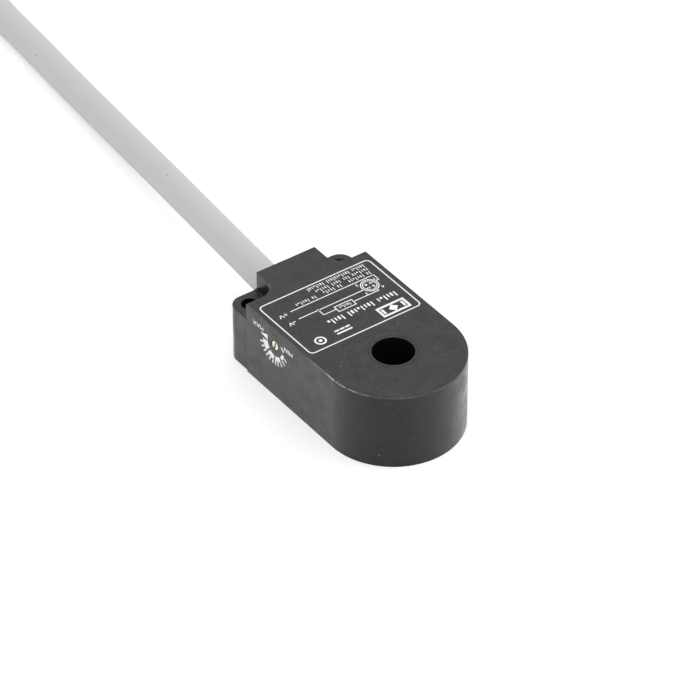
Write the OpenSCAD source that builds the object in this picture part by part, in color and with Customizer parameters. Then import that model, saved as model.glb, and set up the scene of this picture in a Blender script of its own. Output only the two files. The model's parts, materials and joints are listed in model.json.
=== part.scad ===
// Inductive ring sensor: a moulded housing with a sensing bore, a sensitivity trimmer
// in its side and a cable with a round four-pin plug.
// The bore's axis is Z, the base lies on z = 0, and the cable leaves towards -X.

/* [Housing] */
// Width of the body, and diameter of its ring end
body_w = 35.2; // [34:0.1:38]
// Distance from the bore's axis to the rear face of the body
body_l = 35; // [34:0.1:38]
// Height of the housing
body_h = 20.6; // [20:0.1:22]
// Thickness of the side walls and of the top
wall = 2; // [1.6:0.1:2.2]
// Chamfer along the top edges
edge_c = 0.15; // [0.1:0.05:0.6]
// Thickness of the cover that closes the base
cover_t = 2; // [1.5:0.25:2.5]

/* [Bore] */
// Diameter of the sensing bore
bore_d = 10.2; // [9.6:0.1:10.6]
// Wall of the sleeve that lines the bore
sleeve_t = 0.8; // [0.6:0.1:1]

/* [Neck and ears] */
// Length of the neck behind the body
neck_l = 8.7; // [7.5:0.1:9]
// Width of the neck
neck_w = 17.4; // [16.5:0.1:18]
// Radius of the screw pocket between the neck and the body
pocket_r = 4; // [3.6:0.1:4.4]
// Height of the ears
ear_h = 15.2; // [14:0.1:17]
// Distance of the ears' sides from the body's sides
ear_inset = 0.35; // [0.1:0.05:0.5]
// Corner radius of the ears
ear_r = 3.5; // [3:0.1:4]
// Diameter of the screw holes
hole_d = 4.3; // [4.2:0.1:4.6]
// Distance between the screw holes
hole_pitch = 26.3; // [26:0.1:27]

/* [Trimmer] */
// Distance of the trimmer behind the bore's axis
trim_back = 23.2; // [22:0.1:25]
// Height of the trimmer's axis
trim_z = 15.5; // [15.3:0.05:15.8]
// Diameter of the trimmer's screw
screw_d = 2.4; // [2.2:0.1:2.6]

/* [Cable and plug] */
// Diameter of the cable
cable_d = 8; // [7.6:0.1:8.2]
// Diameter of the coupling ring
ring_d = 14.4; // [14:0.1:14.6]

/* [Hidden] */
$fn = 64;

// Overlap of a cutter beyond the face that it cuts
cut = 1;
// Radial clearance of the turning pieces
turn_gap = 0.05;

// Housing
ring_r = body_w / 2;
neck_x = -body_l - neck_l;
cavity_r = ring_r - wall;
cavity_x = wall - body_l;
ceiling_z = body_h - wall;
pocket_x = -body_l - pocket_r;
pocket_y = neck_w / 2 + pocket_r;
neck_r = 0.5;
hole_x = neck_x + 3.8;
seat_strip_w = 0.45;
seat_strip_h = 0.35;

// Coil, round the sleeve of the bore
sleeve_r = bore_d / 2 + sleeve_t;
rim_c = 0.1;
flange_r = 12;
flange_t = 0.8;
bobbin_wall = 1;
coil_z = 4;
coil_h = 12;
winding_r = 11.4;
shield_t = 0.8;
shield_slot = 5;
lead_d = 0.5;
lead_y = 0.8;
lead_l = 4;

// Circuit board, seated against four ribs under the ceiling
board_t = 1.6;
board_top = trim_z - 2.9;
board_z = board_top - board_t;
board_gap = 0.3;
board_front = -6;
board_notch_r = flange_r + shield_t + 0.8;
rib_l = 2.6;
rib_w = 2;

// Trimmer
trim_x = -trim_back;
trim_hole_r = screw_d / 2 + 0.2;
screw_recess = 0.05;
screw_l = 5.3;
screw_slot_w = 0.45;
screw_slot_h = 0.7;
screw_tilt = 15;
seal_t = 0.9;
seal_r = 2;
case_w = 6.4;
case_l = 6;
case_top_gap = 0.1;

// Cable entry
cable_z = 8.8;
cable_end_x = neck_x + 7;
seal_l = 6;
seal_wall = 1.15;
wire_d = 1.3;
wire_pitch = 1.9;
wire_l = 6.5;

// Cable route, from inside the neck to the plug
route = [
    [cable_end_x, 0, cable_z], [neck_x, 0, cable_z], [-50, 0.2, 8.9], [-60, 0.9, 8.9], [-75, 2.2, 8.5],
    [-90, 3.7, 7.8], [-105, 5.4, 6.8], [-120, 7, 5.8], [-135, 8.5, 5], [-150, 9.9, 4.4],
    [-165, 11.2, 4.1], [-175, 12, 4.1], [-184, 12.6, 4.1], [-191, 12.9, 4.4], [-197, 13.2, 5.1],
    [-203, 13.6, 6], [-209, 14, 6.9], [-214, 14.3, 7.3], [-219, 14.65, 7.3]
];
cable_sides = 12;

// Plug, measured along its own axis from the end of the cable
plug_start = route[len(route) - 1];
plug_heading = plug_start - route[len(route) - 2];
plug_angle = atan2(plug_heading.y, plug_heading.x);
grip_l = 24;
collar_l = 6;
collar_r = 6.6;
bearing_r = 4.3;
bearing_l = 7;
insert_z = grip_l + bearing_l;
insert_r = 4.15;
insert_flange_r = 4.7;
insert_flange_t = 1;
insert_floor = 4;
insert_l = 9;
insert_wall = 0.5;
key_w = 1;
key_h = 0.7;
pin_d = 1;
pin_l = 4.5;
pin_circle_r = 2.5;
ring_start = grip_l + 0.3;
ring_lip_l = 6.4;
ring_knurl_l = 8.5;
ring_l = 15.5;
thread_root_r = 5.5;
ring_inner_r = 5;
flute_count = 20;
flute_r = 0.7;

// Plan of the body and neck above the ears
module upper_plan() {
    circle(r = ring_r, $fn = 180);
    translate([-body_l, -ring_r]) square([body_l, body_w]);
    translate([neck_x + neck_r, -neck_w / 2]) square([neck_l - neck_r + cut, neck_w]);
    translate([neck_x, neck_r - neck_w / 2]) square([neck_l + cut, neck_w - 2 * neck_r]);
    for (side = [-1, 1]) {
        translate([neck_x + neck_r, side * (neck_w / 2 - neck_r)]) circle(r = neck_r);
        difference() {
            translate([pocket_x, side > 0 ? neck_w / 2 - cut : -pocket_y])
                square([pocket_r + cut, pocket_r + cut]);
            translate([pocket_x, side * pocket_y]) circle(r = pocket_r);
        }
    }
}

// Plan of the ears, with rounded rear corners
module ear_plan() {
    ear_y = ring_r - ear_inset;
    corner_x = neck_x + ear_r;
    corner_y = ear_y - ear_r;
    translate([corner_x, -ear_y]) square([-corner_x - body_l + cut, 2 * ear_y]);
    translate([neck_x, -corner_y]) square([ear_r + cut, 2 * corner_y]);
    for (side = [-1, 1])
        translate([corner_x, side * corner_y]) circle(r = ear_r);
}

// Inside plan of the walls
module cavity_plan() {
    circle(r = cavity_r, $fn = 180);
    translate([cavity_x, -cavity_r]) square([-cavity_x, 2 * cavity_r]);
}

// Triangle that a chamfer takes off an edge at the origin, with the solid at -X and -Y
module chamfer_plan() {
    polygon([[-edge_c, 0], [0, -edge_c], [cut, -edge_c], [cut, cut], [-edge_c, cut]]);
}

// Chamfer along X at a side edge
module chamfer_x(x0, x1, y, side) {
    translate([x0, y, body_h]) rotate([90, 0, 90]) linear_extrude(x1 - x0) mirror([side > 0 ? 0 : 1, 0])
        chamfer_plan();
}

// Chamfer along Y at a rear edge
module chamfer_y(x, y0, y1) {
    translate([x, y1, body_h]) rotate([90, 0, 0]) linear_extrude(y1 - y0) mirror([1, 0]) chamfer_plan();
}

// All the chamfers of the top outline
module top_chamfers() {
    rotate(-90) rotate_extrude(angle = 180, $fn = 180) translate([ring_r, body_h]) chamfer_plan();
    chamfer_y(neck_x, -neck_w / 2 - cut, neck_w / 2 + cut);
    for (side = [-1, 1]) {
        chamfer_x(-body_l - cut, 0, side * ring_r, side);
        chamfer_x(neck_x - cut, pocket_x, side * neck_w / 2, side);
        chamfer_y(-body_l, side > 0 ? pocket_y : -ring_r - cut, side > 0 ? ring_r + cut : -pocket_y);
        translate([pocket_x, side * pocket_y, body_h - edge_c])
            cylinder(r1 = pocket_r, r2 = pocket_r + edge_c + cut, h = edge_c + cut);
    }
}

// Ribs that the circuit board seats against
module board_ribs() {
    for (x = [cavity_x - cut / 2, board_front - rib_l], side = [-1, 1])
        translate([x, side > 0 ? cavity_r - rib_w : -cavity_r - cut / 2, board_top])
            cube([rib_l, rib_w + cut / 2, body_h - wall / 2 - board_top]);
}

module housing() {
    color("#3c3c3b") {
        difference() {
            union() {
                linear_extrude(body_h) upper_plan();
                linear_extrude(ear_h) ear_plan();
                for (side = [-1, 1])
                    translate([neck_x + edge_c, side > 0 ? neck_w / 2 - cut : -neck_w / 2 - seat_strip_w, 0])
                        cube([pocket_r, seat_strip_w + cut, ear_h + seat_strip_h]);
            }
            top_chamfers();
            translate([0, 0, -cut]) linear_extrude(ceiling_z + cut) cavity_plan();
            translate([0, 0, -cut]) cylinder(r = sleeve_r, h = body_h + 2 * cut);
            translate([neck_x - cut, 0, cable_z]) rotate([0, 90, 0])
                cylinder(d = cable_d + 2 * seal_wall + 2 * turn_gap, h = neck_l + wall + 2 * cut);
            translate([trim_x, -ring_r - cut, trim_z]) rotate([-90, 0, 0])
                cylinder(r = trim_hole_r, h = wall + 2 * cut);
            for (side = [-1, 1])
                translate([hole_x, side * hole_pitch / 2, -cut]) cylinder(d = hole_d, h = body_h + 2 * cut);
        }
        board_ribs();
    }
}

module base_cover() {
    color("#333332") linear_extrude(cover_t) difference() {
        cavity_plan();
        circle(r = sleeve_r);
    }
}

module bore_sleeve() {
    color("#2e2e2d") difference() {
        intersection() {
            cylinder(r = sleeve_r, h = body_h);
            cylinder(r1 = sleeve_r + body_h - rim_c, r2 = sleeve_r - rim_c, h = body_h);
        }
        translate([0, 0, -cut]) cylinder(d = bore_d, h = body_h + 2 * cut);
        translate([0, 0, body_h - rim_c])
            cylinder(r1 = bore_d / 2, r2 = bore_d / 2 + rim_c + cut, h = rim_c + cut);
    }
}

module coil_bobbin() {
    core_r = sleeve_r + bobbin_wall;
    color("#e8e4d8") translate([0, 0, coil_z]) rotate_extrude() {
        translate([sleeve_r, 0]) square([bobbin_wall, coil_h]);
        for (z = [0, coil_h - flange_t])
            translate([core_r - bobbin_wall / 2, z]) square([flange_r - core_r + bobbin_wall / 2, flange_t]);
    }
}

module coil_winding() {
    core_r = sleeve_r + bobbin_wall;
    color("#b5682d") translate([0, 0, coil_z + flange_t]) rotate_extrude()
        translate([core_r, 0]) square([winding_r - core_r, coil_h - 2 * flange_t]);
}

// Lead from the winding to the underside of the board
module coil_lead(side) {
    color("#b5682d") translate([-winding_r - lead_l, side * lead_y, board_z - lead_d / 2]) rotate([0, 90, 0])
        cylinder(d = lead_d, h = lead_l);
}

module shield_ring() {
    color("#a9a9a6") translate([0, 0, coil_z]) difference() {
        cylinder(r = flange_r + shield_t, h = coil_h);
        translate([0, 0, -cut]) cylinder(r = flange_r, h = coil_h + 2 * cut);
        translate([-flange_r - shield_t - cut, -shield_slot / 2, -cut])
            cube([shield_t + 3 * cut, shield_slot, coil_h + 2 * cut]);
    }
}

module circuit_board() {
    half_w = cavity_r - board_gap;
    color("#2f6b3f") translate([0, 0, board_z]) linear_extrude(board_t) difference() {
        translate([cavity_x + board_gap, -half_w]) square([board_front - cavity_x - board_gap, 2 * half_w]);
        circle(r = board_notch_r);
    }
}

// Eight-lead chip on the underside of the board
module oscillator_chip() {
    chip = [5, 4, 1.5];
    lead = [0.45, 6.2, 0.25];
    color("#222222") translate([-21, 3, board_z]) {
        translate([-chip.x / 2, -chip.y / 2, -lead.z - chip.z + 0.05]) cube(chip);
        for (i = [-1.5:1.5])
            translate([1.27 * i - lead.x / 2, -lead.y / 2, -lead.z]) cube(lead);
    }
}

// Power transistor with a tab, on the underside of the board
module output_transistor() {
    case = [6.5, 3.5, 1.6];
    tab = [3, 7, 0.3];
    color("#262626") translate([-25, -8, board_z]) {
        translate([-case.x / 2, -case.y / 2, -tab.z - case.z + 0.05]) cube(case);
        translate([-tab.x / 2, -tab.y / 2, -tab.z]) cube(tab);
    }
}

// Block capacitor on the underside of the board
module capacitor() {
    block = [4.3, 7.3, 2.9];
    color("#c98a2b") translate([-17 - block.x / 2, 10.2 - block.y / 2, board_z - block.z]) cube(block);
}

module trimmer_case() {
    face_y = -cavity_r + seal_t;
    color("#2b5f9e") difference() {
        translate([trim_x - case_w / 2, face_y, board_top])
            cube([case_w, case_l, ceiling_z - case_top_gap - board_top]);
        translate([trim_x, face_y - cut, trim_z]) rotate([-90, 0, 0])
            cylinder(r = screw_d / 2 + turn_gap, h = screw_l + cut);
    }
}

module trimmer_seal() {
    color("#1f1f1f") translate([trim_x, -cavity_r, trim_z]) rotate([-90, 0, 0]) difference() {
        cylinder(r = seal_r, h = seal_t);
        translate([0, 0, -cut]) cylinder(r = screw_d / 2 + turn_gap, h = seal_t + 2 * cut);
    }
}

module trimmer_screw() {
    color("#d8cfae") translate([trim_x, screw_recess - ring_r, trim_z]) rotate([-90, 0, 0]) difference() {
        cylinder(d = screw_d, h = screw_l);
        rotate(screw_tilt) translate([-screw_slot_w / 2, -screw_d, -cut])
            cube([screw_slot_w, 2 * screw_d, screw_slot_h + cut]);
    }
}

module cable_seal() {
    color("#1c1c1c") translate([neck_x, 0, cable_z]) rotate([0, 90, 0]) difference() {
        cylinder(d = cable_d + 2 * seal_wall + 2 * turn_gap, h = seal_l);
        translate([0, 0, -cut]) cylinder(d = cable_d + 2 * turn_gap, h = seal_l + 2 * cut);
    }
}

// Wire from the end of the cable to the underside of the board
module wire(place, tint) {
    color(tint) translate([cable_end_x, place * wire_pitch, board_z - wire_d / 2]) rotate([0, 90, 0])
        cylinder(d = wire_d, h = wire_l);
}

function unit(v) = v / norm(v);
function heading(path, i) = unit(path[min(i + 1, len(path) - 1)] - path[max(i - 1, 0)]);
function tube_ring(path, i, r, n) =
    let (
        ahead = heading(path, i),
        side = unit(cross([0, 0, 1], ahead)),
        up = cross(ahead, side)
    )
    [for (k = [0:n - 1]) path[i] + r * (cos(360 * k / n) * side + sin(360 * k / n) * up)];

// Round tube of n sides along a path
module swept_tube(path, r, n) {
    last = (len(path) - 1) * n;
    points = [for (i = [0:len(path) - 1]) each tube_ring(path, i, r, n)];
    walls = [for (i = [0:len(path) - 2], k = [0:n - 1])
        let (a = i * n + k, b = i * n + (k + 1) % n)
        each [[a, a + n, b + n], [a, b + n, b]]];
    ends = [[for (k = [0:n - 1]) k], [for (k = [n - 1:-1:0]) last + k]];
    polyhedron(points, concat(walls, ends));
}

module cable() {
    color("#c6c6c4") swept_tube(route, cable_d / 2, cable_sides);
}

// Puts a piece on the plug's axis, with its +Z away from the cable
module on_plug() {
    translate(plug_start) rotate([0, 90, plug_angle]) children();
}

module plug_grip() {
    tail_r = cable_d / 2 + 1;
    waist_r = cable_d / 2 + 1.9;
    groove = [1, 1.2];
    dent_r = 0.8;
    dent_start = grip_l - collar_l + 0.5;
    dent_end = grip_l - 1;
    color("#262626") on_plug() difference() {
        rotate_extrude() difference() {
            polygon([
                [0, 0], [tail_r, 0], [waist_r, grip_l - collar_l - 1.5], [collar_r, grip_l - collar_l],
                [collar_r, grip_l], [bearing_r, grip_l], [bearing_r, insert_z], [0, insert_z]
            ]);
            for (z = [2.5:2.4:10])
                translate([tail_r - groove.x / 2, z]) square(groove);
        }
        for (a = [0:30:330])
            rotate(a) translate([collar_r + 0.3, 0, dent_start]) cylinder(r = dent_r, h = dent_end - dent_start);
    }
}

module plug_insert() {
    color("#31312f") on_plug() translate([0, 0, insert_z]) {
        difference() {
            union() {
                cylinder(r = insert_r, h = insert_l);
                cylinder(r = insert_flange_r, h = insert_flange_t);
            }
            translate([0, 0, insert_floor]) cylinder(r = insert_r - insert_wall, h = insert_l);
        }
        translate([insert_r - insert_wall - key_h, -key_w / 2, insert_floor - 0.5])
            cube([key_h + insert_wall / 2, key_w, insert_l - insert_floor]);
    }
}

// One contact pin with a round tip
module pin(place) {
    color("#d9b45a") on_plug() rotate(45 + 90 * place) translate([pin_circle_r, 0, insert_z + insert_floor]) {
        cylinder(d = pin_d, h = pin_l - pin_d / 2);
        translate([0, 0, pin_l - pin_d / 2]) sphere(d = pin_d);
    }
}

module coupling_ring() {
    color("#b9bab8") on_plug() translate([0, 0, ring_start]) difference() {
        union() {
            cylinder(d = ring_d, h = ring_knurl_l);
            cylinder(r = thread_root_r, h = ring_l);
        }
        translate([0, 0, -cut]) cylinder(r = bearing_r + turn_gap, h = ring_l + 2 * cut);
        translate([0, 0, ring_lip_l]) cylinder(r = ring_inner_r, h = ring_l);
        for (i = [0:flute_count - 1])
            rotate(360 * i / flute_count) translate([ring_d / 2 + flute_r / 2, 0, cut])
                cylinder(r = flute_r, h = ring_knurl_l);
    }
}

housing();
base_cover();
bore_sleeve();
coil_bobbin();
coil_winding();
coil_lead(-1);  // coil_lead_a
coil_lead(1);  // coil_lead_b
shield_ring();
circuit_board();
oscillator_chip();
output_transistor();
capacitor();
trimmer_case();
trimmer_seal();
trimmer_screw();
cable_seal();
wire(-1, "#6b4226");  // wire_brown
wire(0, "#2457a6");  // wire_blue
wire(1, "#1b1b1b");  // wire_black
cable();
plug_grip();
plug_insert();
pin(0);  // pin_1
pin(1);  // pin_2
pin(2);  // pin_3
pin(3);  // pin_4
coupling_ring();
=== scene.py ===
"""Inductive ring sensor: cable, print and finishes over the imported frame."""

import json
import logging
import math
from dataclasses import dataclass
from enum import Enum, IntEnum
from itertools import cycle, islice
from typing import Callable, Optional, Sequence

import bpy
from mathutils import Matrix, Vector


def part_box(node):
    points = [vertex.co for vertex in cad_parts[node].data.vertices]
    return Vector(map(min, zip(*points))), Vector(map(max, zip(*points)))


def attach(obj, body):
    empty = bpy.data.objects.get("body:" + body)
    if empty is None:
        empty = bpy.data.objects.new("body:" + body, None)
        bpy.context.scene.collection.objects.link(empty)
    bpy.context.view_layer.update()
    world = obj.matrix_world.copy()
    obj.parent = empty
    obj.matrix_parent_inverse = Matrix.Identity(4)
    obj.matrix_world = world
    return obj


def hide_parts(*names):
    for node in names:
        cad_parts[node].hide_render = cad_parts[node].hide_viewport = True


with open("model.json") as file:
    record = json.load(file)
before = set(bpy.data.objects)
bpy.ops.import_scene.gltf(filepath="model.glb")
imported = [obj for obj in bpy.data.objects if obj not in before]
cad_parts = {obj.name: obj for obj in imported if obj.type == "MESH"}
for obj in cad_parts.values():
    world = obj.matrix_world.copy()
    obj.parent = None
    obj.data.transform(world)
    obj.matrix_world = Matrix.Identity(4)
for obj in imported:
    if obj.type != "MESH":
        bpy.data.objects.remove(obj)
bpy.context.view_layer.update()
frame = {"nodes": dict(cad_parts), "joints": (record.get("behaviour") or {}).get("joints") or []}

MM = 0.001
# Phase of a wave texture of scale 1, in radians per metre.
WAVE_PHASE = 20
WHITE = (1.0, 1.0, 1.0, 1.0)

Plan = tuple[float, float]
Place = tuple[float, float, float]
# Two ends of a range.
Span = tuple[float, float]
# Lower and upper corner of a line of print, and the number of bars in each of its groups.
Row = tuple[Plan, Plan, tuple[int, ...]]
# Test on the middle of an edge, in mm.
EdgeTest = Callable[[Vector], bool]
Socket = bpy.types.NodeSocket

log = logging.getLogger("ring_sensor")


class Body(Enum):
    """Bodies of the frame that pieces ride on."""

    SENSOR = "sensor"
    TRIMMER = "trimmer_rotor"
    COUPLING = "coupling"


class Axis(Enum):
    """Directions that a lathe or a winder leaves its lines across."""

    X = 0
    Y = 1
    Z = 2


class Zone(IntEnum):
    """Material slots of a moulding: its walls, edges, upward faces and recesses."""

    WALL = 0
    EDGE = 1
    TOP = 2
    RECESS = 3


def linear(colour: str) -> tuple[float, float, float, float]:
    """Turns an sRGB hex colour to linear RGBA.

    Args:
        colour: Six hex digits after a hash sign.

    Returns:
        Linear red, green and blue, with an alpha of 1.
    """
    parts = [int(colour[i:i + 2], 16) / 255 for i in (1, 3, 5)]
    red, green, blue = (p / 12.92 if p <= 0.04045 else ((p + 0.055) / 1.055) ** 2.4 for p in parts)
    return red, green, blue, 1.0


def per_metre(size_mm: float) -> float:
    """Gives the texture scale at which one cell of a pattern is size_mm wide."""
    return 1 / (size_mm * MM)


def fill(node: bpy.types.Node, values: dict, links: dict) -> None:
    """Sets and links inputs of a node.

    Args:
        node: The node.
        values: Input values by socket name or number.
        links: Output sockets to link, by input socket name or number.
    """
    for socket, value in values.items():
        node.inputs[socket].default_value = value
    for socket, source in links.items():
        node.id_data.links.new(source, node.inputs[socket])


def add(tree: bpy.types.NodeTree, kind: str, settings: Optional[dict] = None,
        values: Optional[dict] = None, links: Optional[dict] = None) -> bpy.types.Node:
    """Adds a node with its settings, input values and incoming links.

    Args:
        tree: Tree that takes the node.
        kind: Blender's name for the kind of node.
        settings: Properties of the node.
        values: Input values by socket name or number.
        links: Output sockets to link, by input socket name or number.

    Returns:
        The new node.
    """
    node = tree.nodes.new(kind)
    for name, value in (settings or {}).items():
        setattr(node, name, value)
    fill(node, values or {}, links or {})
    return node


def blank_material(name: str) -> tuple[bpy.types.Material, bpy.types.NodeTree, bpy.types.Node]:
    """Makes a material that holds only its surface shader.

    Args:
        name: Name of the material.

    Returns:
        The material, its node tree and its Principled shader.
    """
    material = bpy.data.materials.new(name)
    material.use_nodes = True
    tree = material.node_tree
    return material, tree, tree.nodes["Principled BSDF"]


@dataclass(frozen=True)
class MouldedPlastic:
    """Injection-moulded plastic, grained by the spark-eroded steel of its mould.

    The grain breaks up the gloss: faces seen straight on look dark, and faces seen at a grazing
    angle look paler. Handling leaves specks of dust.
    """

    name: str
    dark: str
    light: str
    roughness: float = 0.5
    satin: float = 0.02
    gloss: float = 0.5
    sheen: float = 0.0
    sheen_roughness: float = 0.35
    grain_mm: float = 0.4
    grain_detail: float = 3.0
    relief_mm: float = 0.012
    relief_strength: float = 0.5
    blotch_mm: float = 3.5
    blotch_detail: float = 4.0
    blotch_share: float = 0.45
    contrast: Span = (0.36, 0.64)
    dust_share: float = 0.0
    dust_mm: float = 1.5
    dust_size: float = 0.11
    dust_colour: str = "#85857f"
    worn_at: Optional[Place] = None
    worn_mm: float = 9.0
    unworn: float = 0.12

    def material(self) -> bpy.types.Material:
        """Builds the plastic's material.

        Returns:
            The material.
        """
        material, tree, shader = blank_material(self.name)
        place = add(tree, "ShaderNodeTexCoord").outputs["Object"]
        grain = add(tree, "ShaderNodeTexNoise", {},
                    {"Scale": per_metre(self.grain_mm), "Detail": self.grain_detail}, {"Vector": place})
        blotch = add(tree, "ShaderNodeTexNoise", {},
                     {"Scale": per_metre(self.blotch_mm), "Detail": self.blotch_detail}, {"Vector": place})
        both = add(tree, "ShaderNodeMix", {}, {"Factor": self.blotch_share},
                   {"A": grain.outputs["Fac"], "B": blotch.outputs["Fac"]})
        reach = {"From Min": self.contrast[0], "From Max": self.contrast[1]}
        pale = add(tree, "ShaderNodeMapRange", {}, reach, {"Value": both.outputs["Result"]}).outputs["Result"]
        if self.worn_at:
            pale = self.wear(tree, place, pale)
        tone = add(tree, "ShaderNodeMix", {"data_type": "RGBA"},
                   {"A": linear(self.dark), "B": linear(self.light)}, {"Factor": pale})
        colour = tone.outputs["Result"]
        if self.dust_share:
            colour = self.dust(tree, place, colour)
        satin = {"To Min": self.roughness - self.satin, "To Max": self.roughness + self.satin}
        rough = add(tree, "ShaderNodeMapRange", {}, reach | satin, {"Value": blotch.outputs["Fac"]})
        bump = add(tree, "ShaderNodeBump", {},
                   {"Strength": self.relief_strength, "Distance": self.relief_mm * MM},
                   {"Height": grain.outputs["Fac"]})
        fill(shader, {"Specular IOR Level": self.gloss, "Sheen Weight": self.sheen,
                      "Sheen Roughness": self.sheen_roughness},
             {"Base Color": colour, "Roughness": rough.outputs["Result"], "Normal": bump.outputs["Normal"]})
        return material

    def wear(self, tree: bpy.types.NodeTree, place: Socket, pale: Socket) -> Socket:
        """Holds the pale patches back away from the place that is rubbed.

        Args:
            tree: The material's tree.
            place: Object coordinates.
            pale: How pale the plastic is where it is rubbed.

        Returns:
            How pale the plastic is.
        """
        away = add(tree, "ShaderNodeVectorMath", {"operation": "DISTANCE"},
                   {1: Vector(self.worn_at) * MM}, {0: place})
        worn = add(tree, "ShaderNodeMapRange", {},
                   {"From Max": self.worn_mm * MM, "To Min": 1.0, "To Max": self.unworn},
                   {"Value": away.outputs["Value"]})
        held = add(tree, "ShaderNodeMath", {"operation": "MULTIPLY"}, {},
                   {0: pale, 1: worn.outputs["Result"]})
        return held.outputs["Value"]

    def dust(self, tree: bpy.types.NodeTree, place: Socket, colour: Socket) -> Socket:
        """Scatters specks of dust, which lie in the middle of some of the cells.

        Args:
            tree: The material's tree.
            place: Object coordinates.
            colour: Colour under the dust.

        Returns:
            Colour with the dust on it.
        """
        cells = add(tree, "ShaderNodeTexVoronoi", {}, {"Scale": per_metre(self.dust_mm)}, {"Vector": place})
        near = add(tree, "ShaderNodeMath", {"operation": "LESS_THAN"}, {1: self.dust_size},
                   {0: cells.outputs["Distance"]})
        lot = add(tree, "ShaderNodeSeparateColor", {}, {}, {"Color": cells.outputs["Color"]})
        chosen = add(tree, "ShaderNodeMath", {"operation": "LESS_THAN"}, {1: self.dust_share},
                     {0: lot.outputs["Red"]})
        speck = add(tree, "ShaderNodeMath", {"operation": "MULTIPLY"}, {},
                    {0: near.outputs["Value"], 1: chosen.outputs["Value"]})
        dusted = add(tree, "ShaderNodeMix", {"data_type": "RGBA"}, {"B": linear(self.dust_colour)},
                     {"Factor": speck.outputs["Value"], "A": colour})
        return dusted.outputs["Result"]


@dataclass(frozen=True)
class PrintingInk:
    """Pad-printed two-part ink: an opaque matt film that is a little thin in places."""

    name: str
    full: str
    thin: str
    roughness: float = 0.6
    blotch_mm: float = 0.8
    blotch_detail: float = 3.0
    contrast: Span = (0.3, 0.5)

    def material(self) -> bpy.types.Material:
        """Builds the ink's material.

        Returns:
            The material.
        """
        material, tree, shader = blank_material(self.name)
        place = add(tree, "ShaderNodeTexCoord").outputs["Object"]
        film = add(tree, "ShaderNodeTexNoise", {},
                   {"Scale": per_metre(self.blotch_mm), "Detail": self.blotch_detail}, {"Vector": place})
        cover = add(tree, "ShaderNodeMapRange", {},
                    {"From Min": self.contrast[0], "From Max": self.contrast[1]},
                    {"Value": film.outputs["Fac"]})
        tone = add(tree, "ShaderNodeMix", {"data_type": "RGBA"},
                   {"A": linear(self.thin), "B": linear(self.full)}, {"Factor": cover.outputs["Result"]})
        fill(shader, {"Roughness": self.roughness}, {"Base Color": tone.outputs["Result"]})
        return material


@dataclass(frozen=True)
class CableJacket:
    """Extruded soft PVC: a smooth satin skin with faint flow marks and a few dark specks."""

    name: str
    pale: str
    deep: str
    speck: str
    roughness: float = 0.5
    gloss: float = 0.3
    flow_mm: float = 6.0
    flow_detail: float = 3.0
    speck_mm: float = 5.0
    speck_size: float = 0.05
    skin_mm: float = 0.5
    skin_detail: float = 2.0
    relief_mm: float = 0.01
    relief_strength: float = 0.25

    def material(self) -> bpy.types.Material:
        """Builds the jacket's material.

        Returns:
            The material.
        """
        material, tree, shader = blank_material(self.name)
        place = add(tree, "ShaderNodeTexCoord").outputs["Object"]
        flow = add(tree, "ShaderNodeTexNoise", {},
                   {"Scale": per_metre(self.flow_mm), "Detail": self.flow_detail}, {"Vector": place})
        tone = add(tree, "ShaderNodeMix", {"data_type": "RGBA"},
                   {"A": linear(self.deep), "B": linear(self.pale)}, {"Factor": flow.outputs["Fac"]})
        cells = add(tree, "ShaderNodeTexVoronoi", {}, {"Scale": per_metre(self.speck_mm)}, {"Vector": place})
        near = add(tree, "ShaderNodeMath", {"operation": "LESS_THAN"}, {1: self.speck_size},
                   {0: cells.outputs["Distance"]})
        dotted = add(tree, "ShaderNodeMix", {"data_type": "RGBA"}, {"B": linear(self.speck)},
                     {"Factor": near.outputs["Value"], "A": tone.outputs["Result"]})
        skin = add(tree, "ShaderNodeTexNoise", {},
                   {"Scale": per_metre(self.skin_mm), "Detail": self.skin_detail}, {"Vector": place})
        bump = add(tree, "ShaderNodeBump", {},
                   {"Strength": self.relief_strength, "Distance": self.relief_mm * MM},
                   {"Height": skin.outputs["Fac"]})
        fill(shader, {"Roughness": self.roughness, "Specular IOR Level": self.gloss},
             {"Base Color": dotted.outputs["Result"], "Normal": bump.outputs["Normal"]})
        return material


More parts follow.
